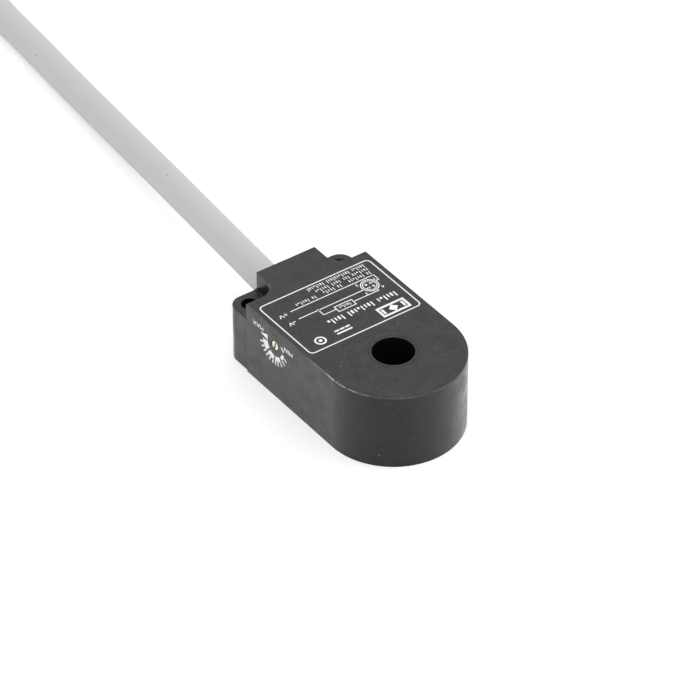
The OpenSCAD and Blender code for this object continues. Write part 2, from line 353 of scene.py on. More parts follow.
@dataclass(frozen=True)
class Metal:
    """Turned, wound or plated metal: fine lines across one axis, and a slight tarnish."""

    name: str
    bright: str
    dull: str
    roughness: float
    # One radian of the lines' wave: they lie six times as far apart, coarser than life, to show.
    line_mm: float
    across: Axis = Axis.Z
    turn_deg: float = 0.0
    unevenness: float = 0.6
    line_detail: float = 2.0
    relief_mm: float = 0.01
    relief_strength: float = 0.4
    tarnish_mm: float = 2.5
    tarnish_detail: float = 4.0
    polish: float = 0.06
    dulling: float = 0.08

    def material(self) -> bpy.types.Material:
        """Builds the metal's material.

        Returns:
            The material.
        """
        material, tree, shader = blank_material(self.name)
        place = add(tree, "ShaderNodeTexCoord").outputs["Object"]
        turned = add(tree, "ShaderNodeMapping", {"vector_type": "TEXTURE"},
                     {"Rotation": (0, 0, math.radians(self.turn_deg))}, {"Vector": place})
        lines = add(tree, "ShaderNodeTexWave", {"bands_direction": self.across.name},
                    {"Scale": per_metre(self.line_mm) / WAVE_PHASE, "Distortion": self.unevenness,
                     "Detail": self.line_detail}, {"Vector": turned.outputs["Vector"]})
        tarnish = add(tree, "ShaderNodeTexNoise", {},
                      {"Scale": per_metre(self.tarnish_mm), "Detail": self.tarnish_detail}, {"Vector": place})
        tone = add(tree, "ShaderNodeMix", {"data_type": "RGBA"},
                   {"A": linear(self.bright), "B": linear(self.dull)}, {"Factor": tarnish.outputs["Fac"]})
        worn = add(tree, "ShaderNodeMapRange", {},
                   {"To Min": self.roughness - self.polish, "To Max": self.roughness + self.dulling},
                   {"Value": tarnish.outputs["Fac"]})
        bump = add(tree, "ShaderNodeBump", {},
                   {"Strength": self.relief_strength, "Distance": self.relief_mm * MM},
                   {"Height": lines.outputs["Fac"]})
        fill(shader, {"Metallic": 1.0}, {"Base Color": tone.outputs["Result"],
                                         "Roughness": worn.outputs["Result"],
                                         "Normal": bump.outputs["Normal"]})
        return material


@dataclass(frozen=True)
class BoardLaminate:
    """Glass-cloth laminate under green solder mask, with the cloth's weave just showing."""

    name: str
    mask: str
    track: str
    track_mm: float = 2.2
    track_share: float = 0.12
    weave_mm: float = 0.5
    relief_mm: float = 0.01
    relief_strength: float = 0.3
    roughness: float = 0.35

    def material(self) -> bpy.types.Material:
        """Builds the board's material.

        Returns:
            The material.
        """
        material, tree, shader = blank_material(self.name)
        place = add(tree, "ShaderNodeTexCoord").outputs["Object"]
        tracks = add(tree, "ShaderNodeTexBrick", {},
                     {"Scale": per_metre(self.track_mm), "Mortar Size": self.track_share,
                      "Color1": linear(self.mask), "Color2": linear(self.mask),
                      "Mortar": linear(self.track)}, {"Vector": place})
        weave = add(tree, "ShaderNodeTexChecker", {}, {"Scale": per_metre(self.weave_mm)}, {"Vector": place})
        bump = add(tree, "ShaderNodeBump", {},
                   {"Strength": self.relief_strength, "Distance": self.relief_mm * MM},
                   {"Height": weave.outputs["Fac"]})
        fill(shader, {"Roughness": self.roughness},
             {"Base Color": tracks.outputs["Color"], "Normal": bump.outputs["Normal"]})
        return material


class Palette:
    """All the finishes of the part, each made into a material once."""

    # Glass-filled PBT, near black, with a fine satin grain that is drawn coarser than life to show.
    housing = MouldedPlastic("pbt_moulded_black", "#020202", "#20201f", roughness=0.38, satin=0.16,
                             gloss=0.26, sheen=0.46, sheen_roughness=0.45, grain_mm=0.7, relief_mm=0.06,
                             blotch_share=0.65, dust_share=0.06)
    # The same PBT on the upward faces, painted paler as light falling on them, with a few specks of dust.
    top = MouldedPlastic("pbt_dust_and_painted_light_charcoal", "#181817", "#333332", roughness=0.36, gloss=0.35,
                         sheen=0.45, grain_mm=0.6, relief_mm=0.06, dust_share=0.07, dust_colour="#6f6f6a")
    # The same PBT in the recesses over the ears, made darker, with less sheen, as painted shade.
    recess = MouldedPlastic("pbt_recess_painted_shade", "#030303", "#111110", roughness=0.3, gloss=0.4, sheen=0.1,
                            grain_mm=0.7, relief_mm=0.06)
    # The same PBT along the moulding's edges, painted pale all along as a highlight, and rubbed pale where
    # the round end meets one side.
    edge = MouldedPlastic("pbt_scuffed_edge_and_painted_highlight", "#2c2c2b", "#e0e0da", roughness=0.36, gloss=0.4, sheen=0.3,
                          grain_mm=0.9, blotch_mm=4.0, dust_share=0.12, dust_mm=0.9,
                          worn_at=(1.0, -17.6, 20.6), worn_mm=11.0)
    # PBT cover, from a smoother mould than the housing.
    cover = MouldedPlastic("pbt_cover_charcoal", "#161616", "#222221", roughness=0.38, gloss=0.44)
    # Extruded polyamide tube, drawn to a dull black wall and darkened further as painted shade inside the
    # bore.
    sleeve = MouldedPlastic("polyamide_tube_black_painted_shade", "#050505", "#080808", roughness=0.6, gloss=0.1)
    # Natural glass-filled nylon of the bobbin, creamy and satin.
    bobbin = MouldedPlastic("nylon_natural", "#d9d3c2", "#ebe6d8", roughness=0.5)
    # Enamelled copper wire, wound in level turns; the turns are drawn coarser than life to show.
    winding = Metal("enamelled_copper_winding", "#c47b3c", "#8f4a20", 0.3, 0.3, relief_mm=0.08)
    # Enamelled copper of the straight leads, with a reddish shine.
    lead = Metal("enamelled_copper_lead", "#c47b3c", "#9c5526", 0.3, 0.3)
    # Rolled steel strip of the coil's shield, dull grey with fine lines.
    shield = Metal("rolled_steel_strip", "#b4b4b0", "#8e8e8a", 0.4, 0.25)
    # Epoxy glass laminate of the board, glossy green with paler tracks under the mask.
    board = BoardLaminate("glass_laminate_green", "#1f5a33", "#37764a")
    # Epoxy moulding compound of the chips, matt black.
    chip = MouldedPlastic("epoxy_compound_black", "#1c1c1c", "#2a2a29", roughness=0.55, grain_mm=0.2)
    # Dipped resin of the capacitor, glossy amber.
    resin = MouldedPlastic("capacitor_resin_amber", "#b8761c", "#d2963a", roughness=0.3)
    # Moulded polyester of the trimmer's case, an even satin blue.
    trimmer_case = MouldedPlastic("polyester_blue", "#234f86", "#2f66a6", roughness=0.4)
    # Nitrile rubber, matt and slightly dusty.
    rubber = MouldedPlastic("nitrile_rubber_black", "#161616", "#232322", roughness=0.7, gloss=0.3)
    # Pale brass head of the trimmer, turned, slotted and tin plated.
    screw = Metal("trimmer_tinned_brass", "#f9f6ee", "#e4decf", 0.42, 0.2, across=Axis.Y)
    # Extruded PVC of the three wires, each in an even colour, smooth and a little glossy.
    wire_brown = MouldedPlastic("wire_pvc_brown", "#5c3820", "#754b2e", roughness=0.4)
    wire_blue = MouldedPlastic("wire_pvc_blue", "#1f4d96", "#2c62b4", roughness=0.4)
    wire_black = MouldedPlastic("wire_pvc_black", "#161616", "#242424", roughness=0.4)
    # Extruded PVC of the jacket, pale grey with a soft highlight along it.
    jacket = CableJacket("cable_pvc_grey", "#cbcbca", "#c4c4c3", "#7d7d7b")
    # Over-moulded polyurethane of the plug, satin from handling.
    grip = MouldedPlastic("polyurethane_black", "#1d1d1d", "#2b2b2a", roughness=0.45, grain_mm=0.5)
    # Moulded polyamide of the contact insert, a dense satin black.
    insert = MouldedPlastic("polyamide_insert_black", "#1a1a1a", "#262625", roughness=0.4)
    # Nickel on die-cast zinc, bright with faint turning lines.
    nickel = Metal("nickel_plated_zinc", "#cfcdc6", "#a9a69d", 0.24, 0.2, across=Axis.X, turn_deg=176.0)
    # Gold on turned brass pins, warm and bright.
    gold = Metal("gold_plated_brass", "#e6c167", "#c79c3e", 0.22, 0.15, across=Axis.X, turn_deg=176.0)
    # White two-part ink, opaque and matt.
    ink = PrintingInk("pad_print_white", "#fefefd", "#f1f1ee")

    def __init__(self) -> None:
        """Starts with no material made."""
        self._made: dict[str, bpy.types.Material] = {}

    def get(self, finish: str) -> bpy.types.Material:
        """Gives a finish's material, made at its first use.

        Args:
            finish: The finish's name in this class.

        Returns:
            The material.
        """
        if finish not in self._made:
            self._made[finish] = getattr(self, finish).material()
        return self._made[finish]

    def dress(self, piece: bpy.types.Object, *finishes: str) -> None:
        """Puts finishes on a piece's material slots.

        Args:
            piece: The piece, or a node of the frame.
            finishes: Names of the finishes, in the order of the slots.
        """
        piece.data.materials.clear()
        for finish in finishes:
            piece.data.materials.append(self.get(finish))
        log.info("%s is dressed in %s", piece.name, ", ".join(finishes))


def only(piece: bpy.types.Object) -> None:
    """Selects one object alone and makes it active.

    Args:
        piece: The object.
    """
    bpy.ops.object.select_all(action="DESELECT")
    piece.select_set(True)
    bpy.context.view_layer.objects.active = piece


def edit(piece: bpy.types.Object, mode: str = "FACE") -> None:
    """Enters edit mode on one object, with nothing selected.

    Args:
        piece: The object.
        mode: What is selected next: VERT, EDGE or FACE.
    """
    only(piece)
    bpy.ops.object.mode_set(mode="EDIT")
    bpy.ops.mesh.select_mode(type=mode)
    bpy.ops.mesh.select_all(action="DESELECT")


def leave() -> None:
    """Goes back to object mode."""
    bpy.ops.object.mode_set(mode="OBJECT")


def new_object(name: str, data: bpy.types.ID) -> bpy.types.Object:
    """Puts a new object into the scene, at the origin.

    Args:
        name: Name of the object.
        data: Its mesh, curve, camera or light.

    Returns:
        The object.
    """
    piece = bpy.data.objects.new(name, data)
    bpy.context.scene.collection.objects.link(piece)
    return piece


def freeze(piece: bpy.types.Object) -> None:
    """Moves an object's place, turn and size into its mesh."""
    only(piece)
    bpy.ops.object.transform_apply(location=True, rotation=True, scale=True)


def apply_modifier(piece: bpy.types.Object, kind: str, settings: dict) -> None:
    """Adds a modifier with its settings and applies it.

    Args:
        piece: Object that takes the modifier.
        kind: Blender's name for the kind of modifier.
        settings: Properties of the modifier.
    """
    modifier = piece.modifiers.new(kind.title(), kind)
    for name, value in settings.items():
        setattr(modifier, name, value)
    only(piece)
    bpy.ops.object.modifier_apply(modifier=modifier.name)


def settle(piece: bpy.types.Object, body: Body, slot: str, *stands_for: str) -> None:
    """Lets a finished piece ride on its body.

    Args:
        piece: The finished piece.
        body: Body that carries it.
        slot: Material slot of the record, which it does not use.
        stands_for: Nodes of the frame that it replaces.
    """
    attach(piece, body.value)
    if stands_for:
        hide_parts(*stands_for)
    log.info("%s rides on %s", piece.name, body.value)


def joint(name: str) -> tuple[Vector, Vector]:
    """Gives a joint's place and axis in the frame."""
    found = next(j for j in frame["joints"] if j["name"] == name)
    return Vector(found["pos_m"]), Vector(found["axis"]).normalized()


@dataclass
class Studio:
    """Camera, floor and soft lights. Places are in mm, lamp powers in watts."""

    target: Place = (-27.05, 7.165, 0.0)
    azimuth_deg: float = 53.93
    elevation_deg: float = 38.76
    distance: float = 1000.0
    focal_px: float = 4133.7
    frame_px: float = 700.0
    sensor: float = 36.0
    view_depth: float = 100000.0
    floor_size: float = 12000.0
    floor_gap: float = 0.02
    floor_colour: str = "#f2f2f1"
    floor_lift: float = 0.38
    world_light: float = 0.92
    key_place: Place = (450.0, 800.0, 1000.0)
    key_size: Plan = (700.0, 700.0)
    key_power: float = 3.0

    def build(self) -> None:
        """Builds the whole studio."""
        self.build_camera()
        self.build_floor()
        self.build_world()
        self.lamp("key_softbox", self.key_place, self.key_size, self.key_power)

    def build_camera(self) -> None:
        """Puts the camera at the photograph's viewing angle."""
        data = bpy.data.cameras.new("photo_camera")
        data.sensor_width = self.sensor
        data.lens = self.focal_px / self.frame_px * self.sensor
        data.clip_end = self.view_depth * MM
        camera = new_object("photo_camera", data)
        turn, rise = math.radians(self.azimuth_deg), math.radians(self.elevation_deg)
        back = Vector((math.sin(turn) * math.cos(rise), -math.cos(turn) * math.cos(rise), math.sin(rise)))
        camera.location = (Vector(self.target) + back * self.distance) * MM
        camera.rotation_euler = (-back).to_track_quat("-Z", "Y").to_euler()
        bpy.context.scene.camera = camera
        bpy.context.scene.view_settings.view_transform = "Standard"

    def seen(self, tree: bpy.types.NodeTree) -> Socket:
        """Adds the test for rays that show the background: straight, mirrored or refracted.

        Args:
            tree: Tree that takes the test.

        Returns:
            1 for such rays, and 0 for those that only carry light.
        """
        path = add(tree, "ShaderNodeLightPath")
        mirrored = add(tree, "ShaderNodeMath", {"operation": "ADD", "use_clamp": True}, {},
                       {0: path.outputs["Is Camera Ray"], 1: path.outputs["Is Glossy Ray"]})
        shown = add(tree, "ShaderNodeMath", {"operation": "ADD", "use_clamp": True}, {},
                    {0: mirrored.outputs[0], 1: path.outputs["Is Transmission Ray"]})
        return shown.outputs[0]

    def build_floor(self) -> None:
        """Lays a pale floor that shows white and keeps the shadows, and is clear from below."""
        bpy.ops.mesh.primitive_plane_add(size=self.floor_size * MM, location=(0, 0, -self.floor_gap * MM))
        floor = bpy.context.object
        floor.name = "studio_floor"
        # Matt coated board: it has no gloss, and its lift makes it white to the eye round the shadows.
        material, tree, shader = blank_material("matt_white_board")
        lift = add(tree, "ShaderNodeMath", {"operation": "MULTIPLY"}, {1: self.floor_lift},
                   {0: self.seen(tree)})
        fill(shader, {"Base Color": linear(self.floor_colour), "Roughness": 1.0, "Specular IOR Level": 0.0,
                      "Emission Color": WHITE}, {"Emission Strength": lift.outputs["Value"]})
        side = add(tree, "ShaderNodeNewGeometry")
        clear = add(tree, "ShaderNodeBsdfTransparent")
        sheet = add(tree, "ShaderNodeMixShader", {}, {},
                    {0: side.outputs["Backfacing"], 1: shader.outputs["BSDF"], 2: clear.outputs["BSDF"]})
        fill(tree.nodes["Material Output"], {}, {"Surface": sheet.outputs["Shader"]})
        floor.data.materials.append(material)

    def build_world(self) -> None:
        """Makes an even surround that shows white."""
        world = bpy.data.worlds.new("studio_surround")
        world.use_nodes = True
        tree = world.node_tree
        strength = add(tree, "ShaderNodeMapRange", {}, {"To Min": self.world_light, "To Max": 1.0},
                       {"Value": self.seen(tree)})
        fill(tree.nodes["Background"], {"Color": WHITE}, {"Strength": strength.outputs["Result"]})
        bpy.context.scene.world = world

    def lamp(self, name: str, place: Place, size: Plan, power: float) -> None:
        """Hangs a softbox that points at the object.

        Args:
            name: Name of the lamp.
            place: Centre of its face in mm.
            size: Width and height of its face in mm.
            power: Power in watts.
        """
        data = bpy.data.lights.new(name, "AREA")
        data.shape = "RECTANGLE"
        data.size, data.size_y = size[0] * MM, size[1] * MM
        data.energy = power
        lamp = new_object(name, data)
        lamp.location = Vector(place) * MM
        aim = (Vector(self.target) - Vector(place)).normalized()
        lamp.rotation_euler = aim.to_track_quat("-Z", "Y").to_euler()
        lamp.visible_camera = False


@dataclass
class Cable:
    """Free cable from the neck to the plug. Its route is in mm."""

    diameter: float = 8.0
    length: float = 183.2
    leaves_at: Place = (-43.7, 0.0, 8.8)
    round_steps: int = 10
    route_steps: int = 12
    route: tuple[Place, ...] = (
        (-36.7, 0, 8.8), (-43.7, 0, 8.8), (-50, 0.2, 8.9), (-60, 0.9, 8.9), (-75, 2.2, 8.5),
        (-90, 3.7, 7.8), (-105, 5.4, 6.8), (-120, 7, 5.8), (-135, 8.5, 5), (-150, 9.9, 4.4),
        (-165, 11.2, 4.1), (-175, 12, 4.1), (-184, 12.6, 4.1), (-191, 12.9, 4.4), (-197, 13.2, 5.1),
        (-203, 13.6, 6), (-209, 14, 6.9), (-214, 14.3, 7.3), (-219, 14.65, 7.3),
    )
    on_it: tuple[str, ...] = ()

    def build(self, palette: Palette) -> bpy.types.Object:
        """Args:
            palette: Finishes of the part.

        Returns:
            The cable.
        """
        curve = bpy.data.curves.new("cable_jacket", "CURVE")
        curve.dimensions = "3D"
        curve.bevel_depth = self.diameter / 2 * MM
        curve.bevel_resolution = self.round_steps
        curve.resolution_u = self.route_steps
        curve.use_fill_caps = True
        spline = curve.splines.new("BEZIER")
        spline.bezier_points.add(len(self.route) - 1)
        for point, place in zip(spline.bezier_points, self.route):
            point.co = Vector(place) * MM
            point.handle_left_type = point.handle_right_type = "AUTO"
        cable = new_object("cable_jacket", curve)
        palette.dress(cable, "jacket")
        settle(cable, Body.SENSOR, "cable_jacket", "cable")
        return cable


@dataclass
class RoundedCopy:
    """A copy of a node of the frame, with its sharp edges softened as a mould or a tool leaves them.

    Sizes are in mm and degrees. Without a radius the edges stay as the node has them. A limited
    radius gives way where edges are close together.
    """

    node: str
    radius: float = 0.0
    segments: int = 3
    flat_deg: float = 0.5
    sharp_deg: float = 28.0
    smooth_deg: float = 32.0
    face_weight: int = 100
    weld: float = 0.002
    limited: bool = True

    def build(self, keep: Optional[EdgeTest] = None) -> bpy.types.Object:
        """Copies the node's mesh, merges it and softens its edges.

        Args:
            keep: Test for the edges to soften; all the sharp ones without it.

        Returns:
            The new piece, at the origin.
        """
        piece = new_object(f"{self.node}_finished", frame["nodes"][self.node].data.copy())
        edit(piece, "EDGE")
        bpy.ops.mesh.select_all(action="SELECT")
        bpy.ops.mesh.remove_doubles(threshold=self.weld * MM)
        bpy.ops.mesh.customdata_custom_splitnormals_clear()
        bpy.ops.mesh.dissolve_limited(angle_limit=math.radians(self.flat_deg))
        leave()
        if self.radius:
            self.soften(piece, keep)
        only(piece)
        bpy.ops.object.shade_smooth_by_angle(angle=math.radians(self.smooth_deg))
        apply_modifier(piece, "WEIGHTED_NORMAL",
                       {"mode": "FACE_AREA", "weight": self.face_weight, "keep_sharp": True})
        return piece

    def soften(self, piece: bpy.types.Object, keep: Optional[EdgeTest]) -> None:
        """Bevels the sharp edges that pass a test and merges what falls together.

        Args:
            piece: The copy.
            keep: Test for the edges; all the sharp ones without it.
        """
        edit(piece, "EDGE")
        bpy.ops.mesh.edges_select_sharp(sharpness=math.radians(self.sharp_deg))
        leave()
        points = piece.data.vertices
        for line in piece.data.edges:
            ends = [points[i].co for i in line.vertices]
            line.select = line.select and (keep is None or keep((ends[0] + ends[1]) / 2 / MM))
        only(piece)
        bpy.ops.object.mode_set(mode="EDIT")
        bpy.ops.mesh.bevel(offset=self.radius * MM, segments=self.segments, affect="EDGES",
                           material=Zone.EDGE.value, clamp_overlap=self.limited)
        bpy.ops.mesh.select_all(action="SELECT")
        bpy.ops.mesh.remove_doubles(threshold=self.weld * MM)
        leave()


@dataclass
class Housing:
    """Moulded housing, with its base cover and bore sleeve. Sizes are in mm."""

    rim_radius: float = 0.25
    bore_radius: float = 5.5
    # Levels just under and over the tops of the ears, and their rise in the photograph.
    ear_low: float = 14.0
    ear_top: float = 16.0
    ear_lift: float = 0.24
    body_rear: float = -34.9
    # Least upward part of the normal of a top face, and of a chamfer along the top.
    upward: float = 0.9
    slanted: float = 0.3
    screw_x: float = -39.9
    screw_y: float = 13.15
    screw_radius: float = 2.4

    def at_rim(self, middle: Vector) -> bool:
        """Tells the sleeve's inner rims."""
        return middle.xy.length < self.bore_radius

    def in_recess(self, middle: Vector) -> bool:
        """Tells the walls of the pockets over the ears and of the screw holes in them.

        Args:
            middle: Middle of a face, in mm.

        Returns:
            Whether the face is such a wall.
        """
        pocket = middle.z > self.ear_top and middle.x < self.body_rear
        hole = math.hypot(middle.x - self.screw_x, abs(middle.y) - self.screw_y) < self.screw_radius
        return pocket or hole

    def lift_ears(self, shell: bpy.types.Object) -> None:
        """Raises the tops of the ears to the level that the far one shows.

        Args:
            shell: Copy of the housing.
        """
        edit(shell, "VERT")
        leave()
        for vertex in shell.data.vertices:
            along, _, level = vertex.co / MM
            vertex.select = along < self.body_rear and self.ear_low < level < self.ear_top
        only(shell)
        bpy.ops.object.mode_set(mode="EDIT")
        bpy.ops.transform.translate(value=(0, 0, self.ear_lift * MM))
        leave()

    def build(self, palette: Palette) -> None:
        """Builds and dresses the housing's own pieces.

        Args:
            palette: Finishes of the part.
        """
        shell = RoundedCopy("housing").build()
        self.lift_ears(shell)
        palette.dress(shell, "housing", "edge", "top", "recess")
        settle(shell, Body.SENSOR, "housing_plastic", "housing")
        sleeve = RoundedCopy("bore_sleeve", self.rim_radius).build(self.at_rim)
        # The sleeve's wall carries painted shade for the inside of the bore.
        palette.dress(sleeve, "sleeve", "sleeve", "top")
        settle(sleeve, Body.SENSOR, "sleeve_plastic", "bore_sleeve")
        for piece in (shell, sleeve):
            self.mark_zones(piece)
        palette.dress(frame["nodes"]["base_cover"], "cover")

    def mark_zones(self, piece: bpy.types.Object) -> None:
        """Gives the faces of a moulding their finishes by where they lie and which way they face.

        Args:
            piece: The moulding, with its finishes on its slots.
        """
        for face in piece.data.polygons:
            level, slope = face.center.z / MM, face.normal.z
            # Upward faces take the top finish, painted paler as light falling on them.
            if level > self.ear_low and slope > self.upward:
                face.material_index = Zone.TOP
            # Chamfers along the top take the edge finish: a painted highlight, with real rubbing at one
            # place.
            elif level > self.ear_top and slope > self.slanted:
                face.material_index = Zone.EDGE
            # Pocket walls and screw holes take the recess finish, painted darker as shade.
            elif self.in_recess(face.center / MM):
                face.material_index = Zone.RECESS


class FlatPrint:
    """One film of ink, drawn flat in mm and then laid on a face.

    Its own X runs along a line of print and its own Y points to the top of the print.
    """

    film_mm: float = 0.012
    weld_mm: float = 0.0001
    corner_steps: int = 6
    # Height of a capital, as a share of the font's size, and swelling of its strokes, as a share of
    # that height.
    capital_share: float = 0.69
    stroke_swell: float = 0.04
    # Height, as a share of the line's, and width, in thin bars, of the bars in a group.
    bars: tuple[Plan, ...] = ((1.0, 1.0), (0.7, 1.5), (0.7, 1.0), (1.0, 1.0), (0.4, 1.7), (0.7, 1.0),
                              (0.7, 1.5))

    def __init__(self, name: str) -> None:
        """Opens an empty drawing."""
        self.piece = new_object(name, bpy.data.meshes.new(name))
        edit(self.piece)

    def shape(self, centre: Plan, size: Plan, angle_deg: float) -> None:
        """Stretches, turns and moves the shape just added at the origin.

        Args:
            centre: Where its middle goes.
            size: Stretch along its own X and Y.
            angle_deg: Turn, anticlockwise.
        """
        bpy.ops.transform.resize(value=(size[0], size[1], 1), center_override=(0, 0, 0))
        bpy.ops.transform.rotate(value=-math.radians(angle_deg), orient_axis="Z", center_override=(0, 0, 0))
        bpy.ops.transform.translate(value=(centre[0], centre[1], 0))

    def bar(self, centre: Plan, size: Plan, angle_deg: float = 0.0) -> None:
        """Draws a solid bar.

        Args:
            centre: Its middle.
            size: Its length and width.
            angle_deg: Turn, anticlockwise.
        """
        bpy.ops.mesh.select_all(action="DESELECT")
        bpy.ops.mesh.primitive_plane_add(size=1)
        self.shape(centre, size, angle_deg)

    def line(self, points: Sequence[Plan], width: float) -> None:
        """Draws a line of square corners along points that differ in X or in Y.

        Every second bar ends in the middle of its neighbours, so no two bars share a corner.

        Args:
            points: Ends and corners of the line.
            width: Width of the line.
        """
        for i, ((x0, y0), (x1, y1)) in enumerate(zip(points, points[1:])):
            middle = ((x0 + x1) / 2, (y0 + y1) / 2)
            spare = 0 if i % 2 else width
            self.bar(middle, (abs(x1 - x0) + spare, width) if y0 == y1 else (width, abs(y1 - y0) + spare))

    def wedge(self, foot: Plan, size: Plan, angle_deg: float) -> None:
        """Draws a filled triangle.

        Args:
            foot: Middle of its base.
            size: Its length and the width of its base.
            angle_deg: Direction from its base to its tip, anticlockwise from X.
        """
        # Three corners on a circle of radius 1 make a triangle 1.5 high and the root of 3 wide, and the
        # circle's middle lies at a third of its height.
        turn = math.radians(angle_deg)
        centre = (foot[0] + size[0] / 3 * math.cos(turn), foot[1] + size[0] / 3 * math.sin(turn))
        bpy.ops.mesh.select_all(action="DESELECT")
        bpy.ops.mesh.primitive_circle_add(vertices=3, radius=1, fill_type="NGON")
        self.shape(centre, (size[1] / math.sqrt(3), size[0] / 1.5), angle_deg - 90)

    def chevron(self, tip: Plan, size: Plan, width: float) -> None:
        """Draws two arms that rise from a tip.

        Args:
            tip: Where the arms meet.
            size: Width and height of the whole.
            width: Width of an arm.
        """
        for reach in (-size[0] / 2, size[0] / 2):
            arm = Vector((reach, size[1]))
            middle = Vector(tip) + arm / 2
            self.bar(middle.to_tuple(), (arm.length, width), math.degrees(math.atan2(arm.y, arm.x)))

    def disc(self, centre: Plan, radius: float, corners: int = 24) -> None:
        """Draws a filled circle, or a filled polygon of few corners.

        Args:
            centre: Its middle.
            radius: Distance of its corners from the middle.
            corners: Number of corners.
        """
        bpy.ops.mesh.select_all(action="DESELECT")
        bpy.ops.mesh.primitive_circle_add(vertices=corners, radius=radius, fill_type="NGON",
                                          location=(centre[0], centre[1], 0))

    def hollow(self, width: float) -> None:
        """Leaves only a line round the edge of the shape just drawn."""
        bpy.ops.mesh.inset(thickness=width)
        bpy.ops.mesh.delete(type="FACE")

    def ring(self, centre: Plan, radius: float, width: float, corners: int = 48) -> None:
        """Draws a circle's line, with its outer radius."""
        self.disc(centre, radius, corners)
        self.hollow(width)

    def frame(self, low: Plan, high: Plan, corner: float, width: float) -> None:
        """Draws a frame with round corners.

        Args:
            low: Outer corner with the least X and Y.
            high: Outer corner with the most X and Y.
            corner: Outer corner radius; square corners where it is 0.
            width: Width of the line.
        """
        self.bar(((low[0] + high[0]) / 2, (low[1] + high[1]) / 2), (high[0] - low[0], high[1] - low[1]))
        if corner:
            bpy.ops.mesh.bevel(offset=corner, segments=self.corner_steps, affect="VERTICES")
        self.hollow(width)

    def take(self, other: bpy.types.Object) -> None:
        """Takes a finished flat mesh into the drawing.

        Args:
            other: The mesh, which is joined to the drawing.
        """
        only(self.piece)
        other.select_set(True)
        bpy.ops.object.join()
        edit(self.piece)

    def sector(self, radii: Span, span_deg: Span, steps: int = 12) -> None:
        """Draws part of a ring round the origin, bent from a flat strip.

        Args:
            radii: Inner and outer radius.
            span_deg: First and last angle, anticlockwise from X.
            steps: Straight pieces along the arc.
        """
        leave()
        bpy.ops.object.select_all(action="DESELECT")
        bpy.ops.mesh.primitive_grid_add(x_subdivisions=steps, y_subdivisions=1, size=1)
        strip = bpy.context.object
        for vertex in strip.data.vertices:
            angle = math.radians(span_deg[1] + (vertex.co.x + 0.5) * (span_deg[0] - span_deg[1]))
            reach = radii[0] + (vertex.co.y + 0.5) * (radii[1] - radii[0])
            vertex.co = (reach * math.cos(angle), reach * math.sin(angle), 0)
        self.take(strip)

    def sign(self, text: str, centre: Plan, height: float, stretch: float = 1.0) -> None:
        """Sets a generic sign or word.

        Args:
            text: The sign.
            centre: Its middle.
            height: Height of its capitals.
            stretch: Widening of its letters.
        """
        leave()
        bpy.ops.object.select_all(action="DESELECT")
        bpy.ops.object.text_add()
        letters = bpy.context.object
        letters.data.body = text
        letters.data.size = height / self.capital_share
        letters.data.offset = self.stroke_swell * height
        letters.data.align_x, letters.data.align_y = "CENTER", "CENTER"
        bpy.ops.object.convert(target="MESH")
        letters = bpy.context.object
        letters.scale = (stretch, 1, 1)
        letters.location = (centre[0], centre[1], 0)
        freeze(letters)
        self.take(letters)

    def words(self, row: Row, weight: float) -> None:
        """Fills a line of print with groups of plain bars.

        Args:
            row: The line's corners and the number of bars in each group.
            weight: Width of the thin bars.
        """
        low, high, groups = row
        pitch = (high[0] - low[0]) / (sum(groups) + len(groups) - 1)
        left = low[0]
        for count in groups:
            for share, wide in islice(cycle(self.bars), count):
                width, height = weight * wide, share * (high[1] - low[1])
                self.bar((left + pitch / 2, low[1] + height / 2), (width, height))
                left += pitch
            left += pitch

    def lay(self, to_face: Matrix) -> bpy.types.Object:
        """Gives the ink its thickness and lays it on its face.

        Args:
            to_face: Transform from the drawing, in metres, to the face.

        Returns:
            The finished print, with its place in its mesh.
        """
        bpy.ops.mesh.select_all(action="SELECT")
        bpy.ops.mesh.remove_doubles(threshold=self.weld_mm)
        leave()
        apply_modifier(self.piece, "SOLIDIFY", {"thickness": self.film_mm, "offset": 1.0})
        self.piece.matrix_world = to_face @ Matrix.Scale(MM, 4)
        freeze(self.piece)
        return self.piece


